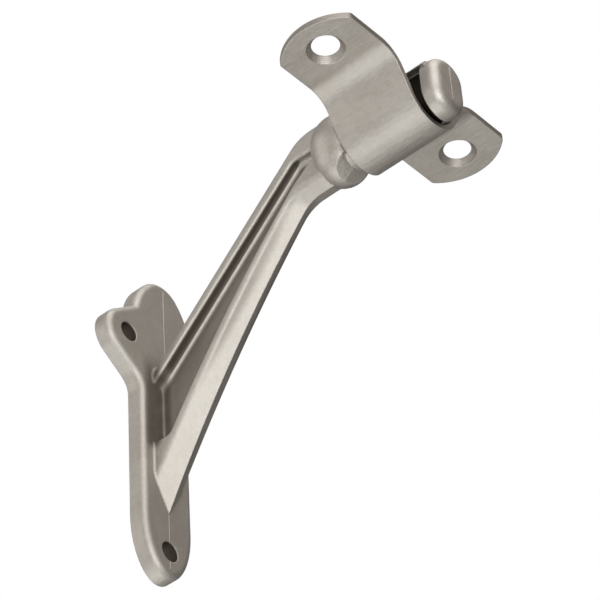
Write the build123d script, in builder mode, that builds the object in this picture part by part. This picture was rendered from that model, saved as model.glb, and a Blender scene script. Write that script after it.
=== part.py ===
from build123d import *
from math import asin, cos, pi, radians, sin, sqrt, tan
import os

# Handrail bracket: one cast bracket that screws to the wall, and one folded steel strap that lies
# around the underside of the casting's neck and takes the rail.
# Frame: origin at the middle of the wall plate's back face, +X out of the wall, +Y along the rail,
# +Z up. Millimetres. Outline points of the arm are (reach from the wall, height).

# Wall plate
plate_height = 76.2
plate_thick = 4.0
plate_edge_radius = 1.5
stem_half_width = 7.1
stem_fillet_radius = 5.2
tip_length = 13.5
top_lobe_radius = 6.1
top_flank_angle = 47.0
side_lobe_radius = 6.0
side_hole_spacing = 21.4
side_upper_flank_angle = 36.5
side_lower_flank_angle = 36.8
notch_half_width = 8.5
notch_fillet_radius = 0.6
wall_hole_radius = 2.3
wall_hole_rise = 50.8
tip_to_hole = 6.0

# Arm: a web between a top flange and a keel that comes to a ridge
arm_half_width = 3.9
arm_narrowing = 0.012
web_half_thick = 0.8
top_foot_height = 12.8
top_bend = (46.0, 51.8)
top_bend_radius = 9.0
top_edge_radius = 2.2
keel_edge_radius = 1.6
flange_foot_height = 8.6
flange_bend = (44.5, 45.3)
flange_bend_radius = 3.0
flange_edge_radius = 0.7
keel_foot_height = -15.8
keel_middle = (22.0, 10.6)
keel_bend = (43.4, 36.5)
ridge_foot_height = -23.0
ridge_middle = (25.0, 9.9)
ridge_bend = (46.2, 35.2)
keel_bend_radius = 7.0
pocket_root = (8.4, -7.1)
pocket_middle = (25.9, 17.0)
pocket_bend = (44.6, 38.3)
pocket_knee = (48.8, 41.5)
pocket_mouth = 3.1
pocket_root_radius = 2.4
pocket_bend_radius = 9.0
pocket_fillet_radius = 1.4
arm_root_radius = 0.6

# Head: ball that narrows to a small bulb below, neck and knob along one level axis
axis_height = 42.5
ball_reach = 56.0
ball_radius = 7.1
ball_rise = 1.4
ball_face_reach = 3.6
bulb_reach = 55.3
bulb_drop = 2.1
bulb_radius = 5.9
facet_start = (55.6, 34.6)
facet_slope = 0.75
facet_side_slope = 0.2
neck_radius = 6.0
slab_half_width = 5.2
slab_corner_radius = 3.0
slab_under_height = 4.1
neck_half_width = 3.4
knob_thick = 4.1
knob_height = 14.1
knob_rise = 0.8
knob_half_width = 5.0
knob_end_radius = 2.3

# Rail strap
strap_width = 19.05
strap_thick = 1.4
strap_gap = 0.5
ball_gap = 0.4
knob_gap = 1.2
flank_angle = 61.0
strap_bend_radius = 6.5
strap_hole_spacing = 42.0
strap_corner_spacing = 48.4
strap_length = 56.8
strap_hole_radius = 2.95
strap_sink_radius = 4.05
strap_corner_radius = 1.0

# Places along the bracket
half_height = plate_height / 2
rail_height = axis_height + neck_radius
ball_face = ball_reach + ball_face_reach
strap_start = ball_face + ball_gap
strap_middle = strap_start + strap_width / 2
strap_end = strap_start + strap_width
knob_start = strap_end + knob_gap


def point_on(centre, radius, angle):
    """Point of a circle at an angle in degrees from the sketch's first axis."""
    return (centre[0] + radius * cos(radians(angle)), centre[1] + radius * sin(radians(angle)))


def corner(sketch, point):
    """Corners of a sketch at a point or at its mirror image."""
    return sketch.vertices().filter_by(
        lambda v: abs(abs(v.X) - point[0]) < 0.01 and abs(v.Y - point[1]) < 0.01
    )


def arm_side(plane, foot_height, middle, bend):
    """Side outline of the arm on a plane: level top over a keel line or a ridge line."""
    start = plane.origin.X

    def at(point):
        return (point[0] - start, point[1])

    with BuildSketch(plane) as side:
        with BuildLine():
            ThreePointArc(at((plate_thick, foot_height)), at(middle), at(bend))
            Line(at(bend), at((ball_reach, bend[1])))
            Line(at((ball_reach, bend[1])), at((ball_reach, top_bend[1])))
            Line(at((ball_reach, top_bend[1])), at(top_bend))
            Line(at(top_bend), at((plate_thick, top_foot_height)))
            Line(at((plate_thick, top_foot_height)), at((plate_thick, foot_height)))
        make_face()
        fillet(corner(side, at(bend)), keel_bend_radius)
        fillet(corner(side, at(top_bend)), top_bend_radius)
    return side.sketch.face()


# Plate outline, its right half: top lobe, notch, side lobe, stem and the long rounded tip
top_centre = (0, half_height - top_lobe_radius)
low_hole_height = -half_height + tip_to_hole
side_hole_height = low_hole_height + wall_hole_rise
side_centre = (side_hole_spacing / 2, side_hole_height)
tip_height = -half_height + tip_length
top_tangent = point_on(top_centre, top_lobe_radius, 90 - top_flank_angle)
upper_tangent = point_on(side_centre, side_lobe_radius, 90 - side_upper_flank_angle)
lower_tangent = point_on(side_centre, side_lobe_radius, side_lower_flank_angle - 90)
side_end = (side_centre[0] + side_lobe_radius, side_centre[1])
upper_slope = tan(radians(side_upper_flank_angle))
lower_slope = tan(radians(side_lower_flank_angle))
upper_line = upper_tangent[1] + upper_slope * upper_tangent[0]
notch = (notch_half_width, upper_line - upper_slope * notch_half_width)
stem_corner = (stem_half_width, lower_tangent[1] - lower_slope * (lower_tangent[0] - stem_half_width))

# Ball in the centre plane: a round top and a smaller round bulb below, joined by straight sides
ball_centre = (ball_reach, axis_height + ball_rise)
bulb_centre = (bulb_reach, axis_height - bulb_drop)
bulb_distance = sqrt((ball_centre[0] - bulb_centre[0]) ** 2 + (ball_centre[1] - bulb_centre[1]) ** 2)
up = ((ball_centre[0] - bulb_centre[0]) / bulb_distance, (ball_centre[1] - bulb_centre[1]) / bulb_distance)
across = (up[1], -up[0])
taper = asin((ball_radius - bulb_radius) / bulb_distance)


def on_ball(centre, radius, angle):
    """Point of the ball's outline at an angle in radians above its widest line."""
    return tuple(
        centre[k] + radius * (cos(angle) * across[k] + sin(angle) * up[k]) for k in (0, 1)
    )


ball_axis = Axis((ball_centre[0], 0, ball_centre[1]), (up[0], 0, up[1]))

# Strap's middle line: round crown, straight flanks, bends and level flanges
crown_middle_radius = neck_radius + strap_gap + strap_thick / 2
crown_bottom = (0, axis_height - crown_middle_radius)
crown_start = point_on((0, axis_height), crown_middle_radius, flank_angle - 90)
level_height = rail_height - strap_thick / 2
bend_corner = crown_start[0] + (level_height - crown_start[1]) / tan(radians(flank_angle))
bend_run = strap_bend_radius * tan(radians(flank_angle / 2))
level_start = (bend_corner + bend_run, level_height)
level_end = (strap_length / 2 + strap_thick, level_height)
flank_top = (
    bend_corner - bend_run * cos(radians(flank_angle)),
    level_height - bend_run * sin(radians(flank_angle)),
)

# Knob: an upright slab with round ends, a little higher than the neck
with BuildPart() as knob:
    with BuildSketch(Plane.YZ.offset(knob_start)):
        with Locations((0, rail_height + knob_rise - knob_height / 2)):
            SlotOverall(knob_height, 2 * knob_half_width, rotation=90)
    extrude(amount=knob_thick)
    fillet(knob.faces().sort_by(Axis.X)[-1].edges(), knob_end_radius)

# Head: ball, neck and knob
with BuildPart() as head:
    with BuildSketch(Plane.XZ):
        with BuildLine():
            ThreePointArc(
                on_ball(ball_centre, ball_radius, pi / 2),
                on_ball(ball_centre, ball_radius, pi / 4),
                on_ball(ball_centre, ball_radius, -taper),
            )
            Line(on_ball(ball_centre, ball_radius, -taper), on_ball(bulb_centre, bulb_radius, -taper))
            ThreePointArc(
                on_ball(bulb_centre, bulb_radius, -taper),
                on_ball(bulb_centre, bulb_radius, -pi / 4),
                on_ball(bulb_centre, bulb_radius, -pi / 2),
            )
            Line(on_ball(bulb_centre, bulb_radius, -pi / 2), on_ball(ball_centre, ball_radius, pi / 2))
        make_face()
    revolve(axis=ball_axis)

    # Flat towards the strap, and a facet on each side that rises from the bulb to the neck
    with BuildSketch(Plane.XZ):
        with Locations((ball_face + ball_radius, axis_height)):
            Rectangle(2 * ball_radius, 4 * ball_radius)
    extrude(amount=2 * ball_radius, both=True, mode=Mode.SUBTRACT)
    for side in (-1, 1):
        facet_plane = Plane(
            origin=(facet_start[0], 0, facet_start[1]), x_dir=(1, 0, facet_slope),
            z_dir=(facet_slope, side * facet_side_slope, -1),
        )
        with BuildSketch(facet_plane):
            Rectangle(4 * ball_radius, 4 * ball_radius)
        extrude(amount=ball_radius, mode=Mode.SUBTRACT)

    # Neck: round where the strap lies, with a narrow stem under a wider slab
    with BuildSketch(Plane.YZ.offset(ball_reach)) as neck:
        with Locations((0, axis_height)):
            Circle(neck_radius)
        with Locations((0, rail_height)):
            Rectangle(2 * slab_half_width, neck_radius, align=(Align.CENTER, Align.MAX))
        fillet(corner(neck, (slab_half_width, rail_height)), slab_corner_radius)
        for side in (-1, 1):
            with Locations(
                (side * (neck_half_width + neck_radius), axis_height + slab_under_height - neck_radius)
            ):
                Rectangle(2 * neck_radius, 2 * neck_radius, mode=Mode.SUBTRACT)
    extrude(amount=knob_start + knob_end_radius / 2 - ball_reach)

    add(knob.part)

# Half of the arm, up to the parting plane
side_plane = Plane(
    origin=(plate_thick, arm_half_width, 0), x_dir=(1, -arm_narrowing, 0), z_dir=(-arm_narrowing, -1, 0)
)
ridge_side = arm_side(Plane.XZ, ridge_foot_height, ridge_middle, ridge_bend)
keel_side = arm_side(side_plane, keel_foot_height, keel_middle, keel_bend)

with BuildPart() as arm_half:
    loft([ridge_side, keel_side], ruled=True)
    side_edges = arm_half.edges().filter_by(
        lambda e: e.bounding_box().min.Y > web_half_thick and e.bounding_box().size.X > 1
    )
    fillet(side_edges.filter_by(lambda e: e.center().Z > e.center().X), top_edge_radius)
    side_edges = arm_half.edges().filter_by(
        lambda e: e.bounding_box().min.Y > arm_half_width - 1 and e.bounding_box().size.X > 1
    )
    fillet(side_edges.filter_by(lambda e: e.center().Z < e.center().X - arm_half_width), keel_edge_radius)

    # Side pocket down to the web
    with BuildSketch(Plane.XZ.offset(-web_half_thick)) as pocket:
        with BuildLine():
            Line((plate_thick, flange_foot_height), flange_bend)
            Line(flange_bend, (ball_reach - 2, flange_bend[1]))
            Line((ball_reach - 2, flange_bend[1]), (ball_reach - 2, flange_bend[1] - pocket_mouth))
            Line((ball_reach - 2, flange_bend[1] - pocket_mouth), pocket_knee)
            Line(pocket_knee, pocket_bend)
            ThreePointArc(pocket_bend, pocket_middle, pocket_root)
            Line(pocket_root, (plate_thick, pocket_root[1]))
            Line((plate_thick, pocket_root[1]), (plate_thick, flange_foot_height))
        make_face()
        fillet(corner(pocket, flange_bend), flange_bend_radius)
        fillet(corner(pocket, pocket_bend), pocket_bend_radius)
        fillet(corner(pocket, pocket_root), pocket_root_radius)
    extrude(amount=-stem_half_width, mode=Mode.SUBTRACT)
    web = arm_half.faces().filter_by(lambda f: abs(f.center().Y - web_half_thick) < 0.01)[0]
    web_edges = web.outer_wire().edges().filter_by(
        lambda e: e.bounding_box().max.X > plate_thick + 0.1 and e.bounding_box().min.X < ball_reach - 2.1
    )
    fillet(web_edges, pocket_fillet_radius)
    flange_slope = (flange_bend[1] - flange_foot_height) / (flange_bend[0] - plate_thick)
    flange_edges = arm_half.edges().filter_by(
        lambda e: e.bounding_box().min.Y > arm_half_width - 1.3 and e.bounding_box().size.X > 1
        and abs(e.center().Z - flange_foot_height - flange_slope * (e.center().X - plate_thick)) < 1.2
    )
    fillet(flange_edges, flange_edge_radius)

# One casting: wall plate, arm and head
with BuildPart() as cast_bracket:
    with BuildSketch(Plane.YZ) as plate:
        with BuildLine():
            RadiusArc((0, half_height), top_tangent, top_lobe_radius)
            TangentArc(
                top_tangent, notch, tangent=(cos(radians(top_flank_angle)), -sin(radians(top_flank_angle)))
            )
            Line(notch, upper_tangent)
            ThreePointArc(upper_tangent, side_end, lower_tangent)
            Line(lower_tangent, stem_corner)
            Line(stem_corner, (stem_half_width, tip_height))
            EllipticalCenterArc((0, tip_height), stem_half_width, tip_length, start_angle=0, arc_size=-90)
            Line((0, -half_height), (0, half_height))
        make_face()
        mirror(about=Plane.YZ)
        fillet(corner(plate, stem_corner), stem_fillet_radius)
        fillet(corner(plate, notch), notch_fillet_radius)
    extrude(amount=plate_thick)
    fillet(cast_bracket.faces().sort_by(Axis.X)[-1].outer_wire().edges(), plate_edge_radius)
    add(arm_half.part)
    add(mirror(arm_half.part, about=Plane.XZ, mode=Mode.PRIVATE))
    add(head.part)
    root_edges = cast_bracket.edges().filter_by(
        lambda e: abs(e.bounding_box().min.X - plate_thick) < 0.02 and e.bounding_box().size.X < 0.04
        and abs(e.center().Y) < arm_half_width + 0.1
        and ridge_foot_height < e.center().Z < top_foot_height + 1
    )
    fillet(root_edges, arm_root_radius)

    with Locations(Plane.YZ.offset(plate_thick)):
        with Locations((0, low_hole_height)):
            Hole(wall_hole_radius)
        with Locations((0, side_hole_height)):
            with GridLocations(side_hole_spacing, 1, 2, 1):
                Hole(wall_hole_radius)

cast_bracket.part.label = "cast_bracket"
os.makedirs("parts", exist_ok=True)
export_step(cast_bracket.part, "parts/cast_bracket.step")

# Strap: one folded strip, round under the neck, with a flange on each side for the rail
with BuildPart() as rail_strap:
    with BuildSketch(Plane.YZ.offset(strap_start)):
        with BuildLine():
            Line(level_end, level_start)
            RadiusArc(level_start, flank_top, -strap_bend_radius)
            Line(flank_top, crown_start)
            ThreePointArc(crown_start, crown_bottom, (-crown_start[0], crown_start[1]))
            Line((-crown_start[0], crown_start[1]), (-flank_top[0], flank_top[1]))
            RadiusArc((-flank_top[0], flank_top[1]), (-level_start[0], level_start[1]), -strap_bend_radius)
            Line((-level_start[0], level_start[1]), (-level_end[0], level_end[1]))
        trace(line_width=strap_thick)
    extrude(amount=strap_width)
    with BuildSketch(Plane.XY):
        with BuildLine():
            for side in (-1, 1):
                ThreePointArc(
                    (strap_start, side * strap_corner_spacing / 2),
                    (strap_middle, side * strap_length / 2),
                    (strap_end, side * strap_corner_spacing / 2),
                )
            Line((strap_start, -strap_corner_spacing / 2), (strap_start, strap_corner_spacing / 2))
            Line((strap_end, -strap_corner_spacing / 2), (strap_end, strap_corner_spacing / 2))
        make_face()
    extrude(amount=2 * axis_height, mode=Mode.INTERSECT)
    fillet(rail_strap.edges().filter_by(Axis.Z), strap_corner_radius)
    hole_plane = Plane(
        origin=(strap_middle, 0, rail_height - strap_thick), x_dir=(1, 0, 0), z_dir=(0, 0, -1)
    )
    with Locations(hole_plane):
        with GridLocations(strap_width, strap_hole_spacing, 1, 2):
            CounterSinkHole(strap_hole_radius, strap_sink_radius, strap_thick)

rail_strap.part.label = "rail_strap"
export_step(rail_strap.part, "parts/rail_strap.step")
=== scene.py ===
import bmesh
import bpy
from mathutils import Matrix, Vector


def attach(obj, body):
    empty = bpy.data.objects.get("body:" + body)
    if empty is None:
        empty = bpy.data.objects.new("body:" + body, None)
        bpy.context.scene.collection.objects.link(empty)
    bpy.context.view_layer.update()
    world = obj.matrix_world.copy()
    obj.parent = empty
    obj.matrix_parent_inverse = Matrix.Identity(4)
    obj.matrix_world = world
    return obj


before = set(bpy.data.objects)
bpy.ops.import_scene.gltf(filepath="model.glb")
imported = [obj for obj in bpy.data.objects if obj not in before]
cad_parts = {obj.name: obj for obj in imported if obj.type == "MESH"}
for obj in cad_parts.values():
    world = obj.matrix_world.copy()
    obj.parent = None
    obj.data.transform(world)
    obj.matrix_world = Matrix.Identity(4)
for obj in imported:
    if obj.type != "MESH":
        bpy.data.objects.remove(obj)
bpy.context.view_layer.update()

millimetres_per_metre = 1000.0

# Places and sizes on the bracket, in millimetres
plate_front = 4.0
screw_hole_radius = 2.3
low_hole_height = -32.1
high_hole_height = 18.7
high_hole_out = 10.7
arm_half_width = 3.9
arm_narrowing = 0.012
neck_height = 42.5
knob_end = 84.35
strap_start = 60.0
strap_width = 19.05
strap_middle = strap_start + strap_width / 2
strap_hole_out = 21.0
strap_hole_radius = 2.95
seam_half_width = 0.14
seam_height = 0.09
rounded_edge_radius = 0.3

# How much the grain is stretched along the axes, where less is longer
even_grain = (1.0, 1.0, 1.0)
grain_along_neck = (0.35, 1.0, 1.0)
marks_along_neck = (0.12, 1.0, 1.0)

# Colours of the nickel; the last two are painted shade: brown, also used for stains, and near black for
# the deepest shadow
dull_nickel = (0.415, 0.38, 0.34, 1)
clean_nickel = (0.49, 0.455, 0.415, 1)
# Lighter colour for worn edges, which also serves as a painted highlight along them
worn_edge_highlight_nickel = (0.62, 0.585, 0.54, 1)
shade_and_stain_nickel = (0.085, 0.064, 0.05, 1)
painted_deep_shadow_nickel = (0.02, 0.015, 0.011, 1)


class Field:
    """A shader socket on which Python's operators add Math nodes."""

    def __init__(self, nodes, socket):
        self.nodes = nodes
        self.socket = socket

    def math(self, operation, first, second=0.0, clamp=False):
        settings = {"operation": operation, "use_clamp": clamp}
        return self.nodes.add("ShaderNodeMath", settings, {0: first, 1: second})

    def __add__(self, other):
        return self.math("ADD", self, other)

    __radd__ = __add__

    def __sub__(self, other):
        return self.math("SUBTRACT", self, other)

    def __rsub__(self, other):
        return self.math("SUBTRACT", other, self)

    def __mul__(self, other):
        return self.math("MULTIPLY", self, other)

    __rmul__ = __mul__

    def __abs__(self):
        return self.math("ABSOLUTE", self)

    def __pow__(self, other):
        return self.math("POWER", self, other)

    def sine(self):
        return self.math("SINE", self)

    def clipped(self):
        """The field, held between 0 and 1."""
        return self.math("ADD", self, 0.0, clamp=True)

    def rises(self, low, high):
        """0 below low, 1 above high, and a smooth step between them."""
        settings = {"interpolation_type": "SMOOTHSTEP"}
        sockets = {"Value": self, "From Min": low, "From Max": high}
        return self.nodes.add("ShaderNodeMapRange", settings, sockets)

    def falls(self, low, high):
        """1 below low, 0 above high, and a smooth step between them."""
        return 1 - self.rises(low, high)


class Nodes:
    """A node tree that is filled one node at a time, up to the last node, which takes the results."""

    def __init__(self, tree, last):
        self.tree = tree
        self.last = tree.nodes[last]

    def give(self, node, name, value):
        """Link a field to a socket, or set the socket to a plain value."""
        if isinstance(value, Field):
            self.tree.links.new(value.socket, node.inputs[name])
        else:
            node.inputs[name].default_value = value

    def feed(self, name, value):
        self.give(self.last, name, value)

    def add(self, kind, settings, sockets, output=0):
        made = self.tree.nodes.new(kind)
        for name, value in settings.items():
            setattr(made, name, value)
        for name, value in sockets.items():
            self.give(made, name, value)
        return Field(self, made.outputs[output])


class Finish(Nodes):
    """A material whose places are in millimetres."""

    def __init__(self, name):
        self.material = bpy.data.materials.new(name)
        self.material.use_nodes = True
        super().__init__(self.material.node_tree, "Principled BSDF")
        metres = self.add("ShaderNodeTexCoord", {}, {}, "Object")
        self.place = self.add(
            "ShaderNodeVectorMath", {"operation": "SCALE"}, {0: metres, "Scale": millimetres_per_metre}
        )

    def parts(self, vector):
        """The three parts of a vector."""
        split = self.add("ShaderNodeSeparateXYZ", {}, {0: vector})
        return [Field(self, socket) for socket in split.socket.node.outputs]

    def facing(self):
        """The three parts of the direction that the surface faces."""
        return self.parts(self.add("ShaderNodeTexCoord", {}, {}, "Normal"))

    def noise(self, size, detail=2.0, stretch=(1.0, 1.0, 1.0), shift=0.0):
        """Noise from 0 to 1 with spots about size millimetres across."""
        place = self.add(
            "ShaderNodeMapping", {},
            {"Vector": self.place, "Scale": stretch, "Location": (shift, shift, shift)},
        )
        return self.add(
            "ShaderNodeTexNoise", {},
            {"Vector": place, "Scale": 1.0 / size, "Detail": detail, "Roughness": 0.55},
        )

    def blend(self, amount, low, high):
        """A colour from low to high, through the Mix node's own sockets for colours."""
        low_input = 6
        high_input = 7
        result = 2
        sockets = {"Factor": amount, low_input: low, high_input: high}
        return self.add("ShaderNodeMix", {"data_type": "RGBA"}, sockets, result)

    def edges(self, radius):
        """The rounded normal at sharp edges, and 1 where it is level with the surface."""
        reach = radius / millimetres_per_metre
        rounded = self.add("ShaderNodeBevel", {"samples": 8}, {"Radius": reach})
        flat = self.add("ShaderNodeNewGeometry", {}, {}, "Normal")
        level = self.add(
            "ShaderNodeVectorMath", {"operation": "DOT_PRODUCT"}, {0: rounded, 1: flat}, "Value"
        )
        return rounded, level


def nickel(finish, base_rough, grain_stretch, relief, painted_shade_and_stain):
    """Satin nickel: warm grey metal with a fine grain, soft stains, brighter worn edges that also paint a
    highlight, and painted shade.
    """
    turned_away = (0.75, 0.97)
    rounded, level = finish.edges(rounded_edge_radius)
    edge_wear_and_highlight = level.falls(*turned_away)
    stains = finish.noise(size=9.0, detail=3.0)
    spots = finish.noise(size=1.3, detail=2.0, shift=7.0)
    grain = finish.noise(size=0.5, detail=3.0, stretch=grain_stretch, shift=3.0)

    # Colour, from the clean metal through brown painted shade and stains to the painted black shadow of
    # the deepest recesses
    tones = (0.35, 0.65)
    black = (0.9, 0.97)
    tone = (0.4 * stains + 0.2 * spots + 0.4 * grain).rises(*tones)
    dull = finish.blend(tone, dull_nickel, clean_nickel)
    # Edges are lighter: edge wear, and a painted highlight along them
    bright = finish.blend((0.3 * edge_wear_and_highlight).clipped(), dull, worn_edge_highlight_nickel)
    dark = finish.blend(painted_shade_and_stain, bright, shade_and_stain_nickel)
    deep = finish.blend(painted_shade_and_stain.rises(*black), dark, painted_deep_shadow_nickel)
    finish.feed("Base Color", deep)
    finish.feed("Metallic", 1.0)
    rough = base_rough + 0.08 * stains + 0.08 * grain - 0.04 * edge_wear_and_highlight + 0.1 * painted_shade_and_stain
    finish.feed("Roughness", rough.clipped())

    # Relief, in millimetres
    height = 0.09 * grain + 0.012 * spots + relief
    bump = {
        "Strength": 0.6,
        "Distance": 1 / millimetres_per_metre,
        "Height": height,
        "Normal": rounded,
    }
    finish.feed("Normal", finish.add("ShaderNodeBump", {}, bump))


def distance(first, second):
    """How far a place is from a centre, by its distances along two axes."""
    return (first ** 2 + second ** 2) ** 0.5


# Masks: each named pair is a soft border, from where it begins to where it is complete


def facet_mask(x, z):
    """The facets under the ball, and the ball's flat towards the strap."""
    start = (55.4, 55.9)
    end = (59.7, 59.9)
    top = (38.0, 39.5)
    return x.rises(*start) * z.falls(*top) * x.falls(*end)


def pocket_mask(x, z, side):
    """The pocket in each side of the arm, where shade is painted: below its side faces, from the flange
    down to the keel.
    """
    depth = arm_half_width - arm_narrowing * (x - plate_front) - side
    inside = (0.25, 0.9)
    start = (4.5, 8.0)
    end = (50.0, 54.0)
    flange_slope = 0.93
    flange = (6.0, 8.0)
    keel_slope = 1.22
    keel = (-19.0, -17.0)
    recess = depth.rises(*inside) * x.rises(*start) * x.falls(*end)
    return recess * (z - flange_slope * x).falls(*flange) * (z - keel_slope * x).rises(*keel)


def arm_root_mask(x, z, side):
    """The plate's front on both sides of the arm's foot, where shade is painted."""
    front = (3.8, 3.95)
    reach = (5.0, 7.0)
    spread = (4.5, 7.5)
    bottom = (-9.0, -7.0)
    top = (10.0, 18.0)
    near = x.falls(*reach) * side.falls(*spread) * x.rises(*front)
    return near * z.rises(*bottom) * z.falls(*top)


def hole_wall_mask(x, y, z, side):
    """The walls of the plate's three screw holes, where dark shade is painted."""
    wall = (screw_hole_radius + 0.05, screw_hole_radius + 0.25)
    front = (3.6, plate_front)
    low_hole = distance(y, z - low_hole_height)
    high_hole = distance(side - high_hole_out, z - high_hole_height)
    return (low_hole.falls(*wall) + high_hole.falls(*wall)) * x.falls(*front)


def covered_neck_mask(x, z):
    """The round of the neck from the ball to the knob, which the strap covers, where a black shadow is
    painted.
    """
    ball = (59.4, 60.2)
    knob = (80.25, 80.5)
    top = (46.2, 46.6)
    return x.rises(*ball) * x.falls(*knob) * z.falls(*top)


def casting_finish():
    """Satin nickel on the casting, with painted shade in its recesses, its holes and under the strap."""
    finish = Finish("nickel_casting")
    x, y, z = finish.parts(finish.place)
    out, across, rise = finish.facing()
    side = abs(y)
    rough_cast = facet_mask(x, z) * finish.noise(size=0.8, detail=4.0, shift=5.0)

    # In the pocket, the roof faces out and down, and the web faces sideways; shade is painted on both
    roof_out = 0.68
    roof_down = 0.73
    like_roof = (0.72, 0.85)
    sideways = (0.85, 0.98)
    pocket = pocket_mask(x, z, side)
    roof = pocket * (roof_out * out - roof_down * rise).rises(*like_roof)
    web = pocket * abs(across).rises(*sideways)

    # Noise that makes the painted shade at the arm's foot uneven
    shade_mottle = finish.noise(size=3.0, detail=2.0, shift=2.0)
    root = arm_root_mask(x, z, side)
    in_hole = hole_wall_mask(x, y, z, side)
    under_strap = covered_neck_mask(x, z)
    # Painted shade: on the pocket's web and roof, at the arm's foot, in the holes and under the strap;
    # the rough-cast facets are a little darker metal
    painted_shade_and_stain = 0.5 * web + 0.88 * roof + root * (0.55 + 0.25 * shade_mottle)
    painted_shade_and_stain = (painted_shade_and_stain + 0.1 * rough_cast + 0.92 * in_hole + 0.97 * under_strap).clipped()

    # The head is smoother than the arm
    head_start = (50.0, 53.0)
    polish = 0.07 * x.rises(*head_start)
    nickel(finish, 0.48 - polish, even_grain, 0.2 * rough_cast, painted_shade_and_stain)
    return finish.material


def scratch_mask(x, y, z):
    """One fine scratch across a flange of the strap."""
    line_out = 21.0
    line_slope = 1.1
    half_width = (0.04, 0.16)
    flange = (46.0, 47.0)
    line = abs(y - line_out - line_slope * (x - strap_start))
    return line.falls(*half_width) * z.rises(*flange)


def cut_mask(z, out, rise):
    """The strap's cut sides, and the upright faces of its flanges."""
    sideways = (0.6, 0.9)
    flange = (46.9, 47.1)
    upright = (0.2, 0.5)
    return abs(out).rises(*sideways) + z.rises(*flange) * abs(rise).falls(*upright)


def inner_face_mask(y, z):
    """The strap's inner face round the neck, where shade is painted."""
    radius = (6.6, 6.9)
    top = (44.0, 46.0)
    return distance(y, z - neck_height).falls(*radius) * z.falls(*top)


def strap_finish():
    """Satin nickel on the strap, with press marks along its bends, turned countersinks and painted shade
    on its inner face.
    """
    finish = Finish("nickel_strap")
    x, y, z = finish.parts(finish.place)
    out, _, rise = finish.facing()
    cut = cut_mask(z, out, rise)
    inner = inner_face_mask(y, z)
    scratch = scratch_mask(x, y, z)

    # Press marks, on all that lies below the flanges
    fold_top = (46.6, 47.6)
    folded = z.falls(*fold_top)
    bends = finish.noise(size=2.6, detail=2.0, stretch=marks_along_neck, shift=11.0)

    # Turned rings in the countersinks, as a wave in radians per millimetre
    ring_wave = 24.0
    hole_rim = (strap_hole_radius - 0.1, strap_hole_radius)
    sink_rim = (4.0, 4.15)
    flange_top = (48.3, 48.4)
    reach = distance(x - strap_middle, abs(y) - strap_hole_out)
    sink = reach.rises(*hole_rim) * reach.falls(*sink_rim)
    sink = sink * z.falls(*flange_top)
    rings = sink * (ring_wave * reach).sine()

    # Darker on the cut sides and in the countersinks, a faint scratch, and painted shade on the inner
    # face
    strap_shade_and_marks = (0.05 * scratch + 0.3 * cut + 0.12 * sink + 0.85 * inner).clipped()
    height = 0.3 * bends * folded - 0.02 * scratch + 0.015 * rings
    nickel(finish, 0.45, grain_along_neck, height, strap_shade_and_marks)
    return finish.material


def floor_finish():
    """A pale matt floor with a slight mottle and a faint glow."""
    finish = Finish("pale_floor")
    pale = (0.86, 0.86, 0.85, 1)
    shade = tuple(0.97 * value for value in pale[:3]) + (1,)
    mottle = finish.noise(size=90.0, detail=3.0)
    finish.feed("Base Color", finish.blend(mottle, shade, pale))
    finish.feed("Roughness", 0.8)
    finish.feed("Emission Color", pale)
    finish.feed("Emission Strength", 0.12)
    return finish.material


def new_object(name, shape, material):
    """An object that has a bmesh's shape and one material."""
    mesh = bpy.data.meshes.new(name)
    shape.to_mesh(mesh)
    shape.free()
    mesh.materials.append(material)
    made = bpy.data.objects.new(name, mesh)
    bpy.context.collection.objects.link(made)
    return made


def seam(name, reach, low, high):
    """The casting's parting seam: a low rounded ridge, upright in the middle plane."""
    shape = bmesh.new()
    bmesh.ops.create_uvsphere(shape, u_segments=12, v_segments=12, radius=seam_half_width)

    # The sphere's widest ring goes up with its upper half
    below_ring = -0.01 * seam_half_width
    upper = [vertex for vertex in shape.verts if vertex.co.z > below_ring]
    lower = [vertex for vertex in shape.verts if vertex.co.z <= below_ring]
    bmesh.ops.translate(shape, verts=upper, vec=(reach, 0.0, high))
    bmesh.ops.translate(shape, verts=lower, vec=(reach, 0.0, low))
    flatten = Matrix.Diagonal((seam_height / seam_half_width, 1.0, 1.0, 1.0))
    bmesh.ops.transform(
        shape, matrix=flatten, space=Matrix.Translation((-reach, 0.0, 0.0)), verts=shape.verts
    )
    to_metres = 1 / millimetres_per_metre
    bmesh.ops.scale(shape, vec=(to_metres, to_metres, to_metres), verts=shape.verts)
    for face in shape.faces:
        face.smooth = True
    piece = new_object(name, shape, casting)
    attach(piece, "bracket")


def lay_floor(drop, size):
    """A wide pale floor, well below the camera."""
    shape = bmesh.new()
    bmesh.ops.create_grid(shape, x_segments=1, y_segments=1, size=size)
    floor = new_object("floor", shape, floor_finish())
    floor.location = (0.0, 0.0, -drop)


casting = casting_finish()
for node, material in (("cast_bracket", casting), ("rail_strap", strap_finish())):
    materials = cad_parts[node].data.materials
    materials.clear()
    materials.append(material)

seam("seam_above_arm", plate_front, low=13.6, high=36.2)
seam("seam_below_arm", plate_front, low=-29.6, high=-23.2)
seam("seam_at_tip", plate_front, low=-36.2, high=-34.6)
seam("seam_on_knob", knob_end, low=37.8, high=46.8)

# The floor, the camera and the lights are in metres
lay_floor(drop=0.95, size=6.0)

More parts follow.
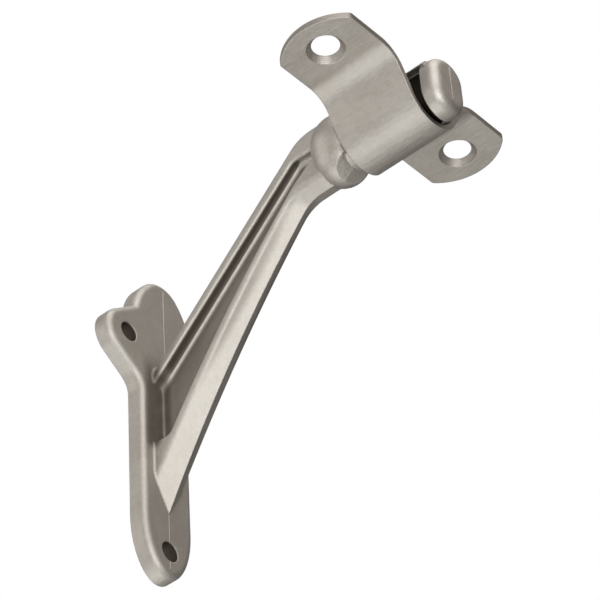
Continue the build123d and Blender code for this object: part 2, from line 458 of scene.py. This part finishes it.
# Camera: below the bracket, in front and to one side
camera_place = Vector((0.31311, -0.33568, -0.36361))
right = Vector((0.7470, 0.6629, -0.0522))
up = Vector((0.4649, -0.4645, 0.7537))
back = right.cross(up).normalized()
camera_data = bpy.data.cameras.new("camera")
camera_data.lens = 170.35
camera_data.sensor_width = 36.0
camera_data.clip_end = 50.0
camera = bpy.data.objects.new("camera", camera_data)
turn = Matrix((right, up, back)).transposed()
camera.matrix_world = Matrix.Translation(camera_place) @ turn.to_4x4()
bpy.context.collection.objects.link(camera)
bpy.context.scene.camera = camera

bracket_middle = Vector((0.042, 0.0, 0.02))
white = (1.0, 1.0, 1.0)
cool = (0.94, 0.98, 1.0)
warm = (1.0, 0.88, 0.78)


def soft_light(name, direction, distance, size, power, colour=white):
    """A square soft light that shines on the bracket from a direction."""
    data = bpy.data.lights.new(name, "AREA")
    data.size = size
    data.energy = power
    data.color = colour
    light = bpy.data.objects.new(name, data)
    way = direction.normalized()
    light.location = bracket_middle + distance * way
    light.rotation_euler = way.to_track_quat("Z", "Y").to_euler()
    light.visible_camera = False
    bpy.context.collection.objects.link(light)


above_front = back + 0.1 * right + 0.35 * up
above = up + 0.1 * right + 0.15 * back
left = -1.0 * right + 0.1 * up
nearly_up = Vector((0.3, -0.1, 1.0))
below_left = 0.45 * back - 0.4 * right - 0.8 * up
behind_right = 0.71 * right + 0.44 * up - 0.55 * back
soft_light("front_light", above_front, distance=1.0, size=0.8, power=6.9, colour=cool)
soft_light("top_light", above, distance=0.9, size=0.8, power=2.8)
soft_light("left_light", left, distance=1.2, size=1.0, power=3.0)
soft_light("high_light", nearly_up, distance=1.5, size=1.2, power=6.0)
soft_light("low_light", below_left, distance=0.8, size=0.8, power=2.5, colour=cool)
soft_light("back_light", behind_right, distance=1.2, size=0.9, power=0.55, colour=warm)


def surroundings():
    """White to the camera, with a gradient for reflections that is brightest above it and to its left."""
    world = bpy.data.worlds.new("studio")
    world.use_nodes = True
    bpy.context.scene.world = world
    world.node_tree.nodes.remove(world.node_tree.nodes["Background"])
    sky = Nodes(world.node_tree, "World Output")
    brightest = (0.5 * back - 0.55 * right + 0.5 * up).normalized()
    way = sky.add("ShaderNodeTexCoord", {}, {}, "Generated")
    facing = sky.add(
        "ShaderNodeVectorMath", {"operation": "DOT_PRODUCT"}, {0: way, 1: brightest}, "Value"
    )
    levels = {"Value": facing, "From Min": -1.0, "From Max": 1.0, "To Min": 0.05, "To Max": 0.62}
    strength = sky.add("ShaderNodeMapRange", {}, levels)
    reflected = sky.add("ShaderNodeBackground", {}, {"Color": (1, 0.99, 0.97, 1), "Strength": strength})
    backdrop = sky.add("ShaderNodeBackground", {}, {"Color": (1, 1, 1, 1), "Strength": 1.0})
    to_camera = sky.add("ShaderNodeLightPath", {}, {}, "Is Camera Ray")
    either = sky.add("ShaderNodeMixShader", {}, {0: to_camera, 1: reflected, 2: backdrop})
    sky.feed("Surface", either)


surroundings()
bpy.context.scene.view_settings.view_transform = "Standard"
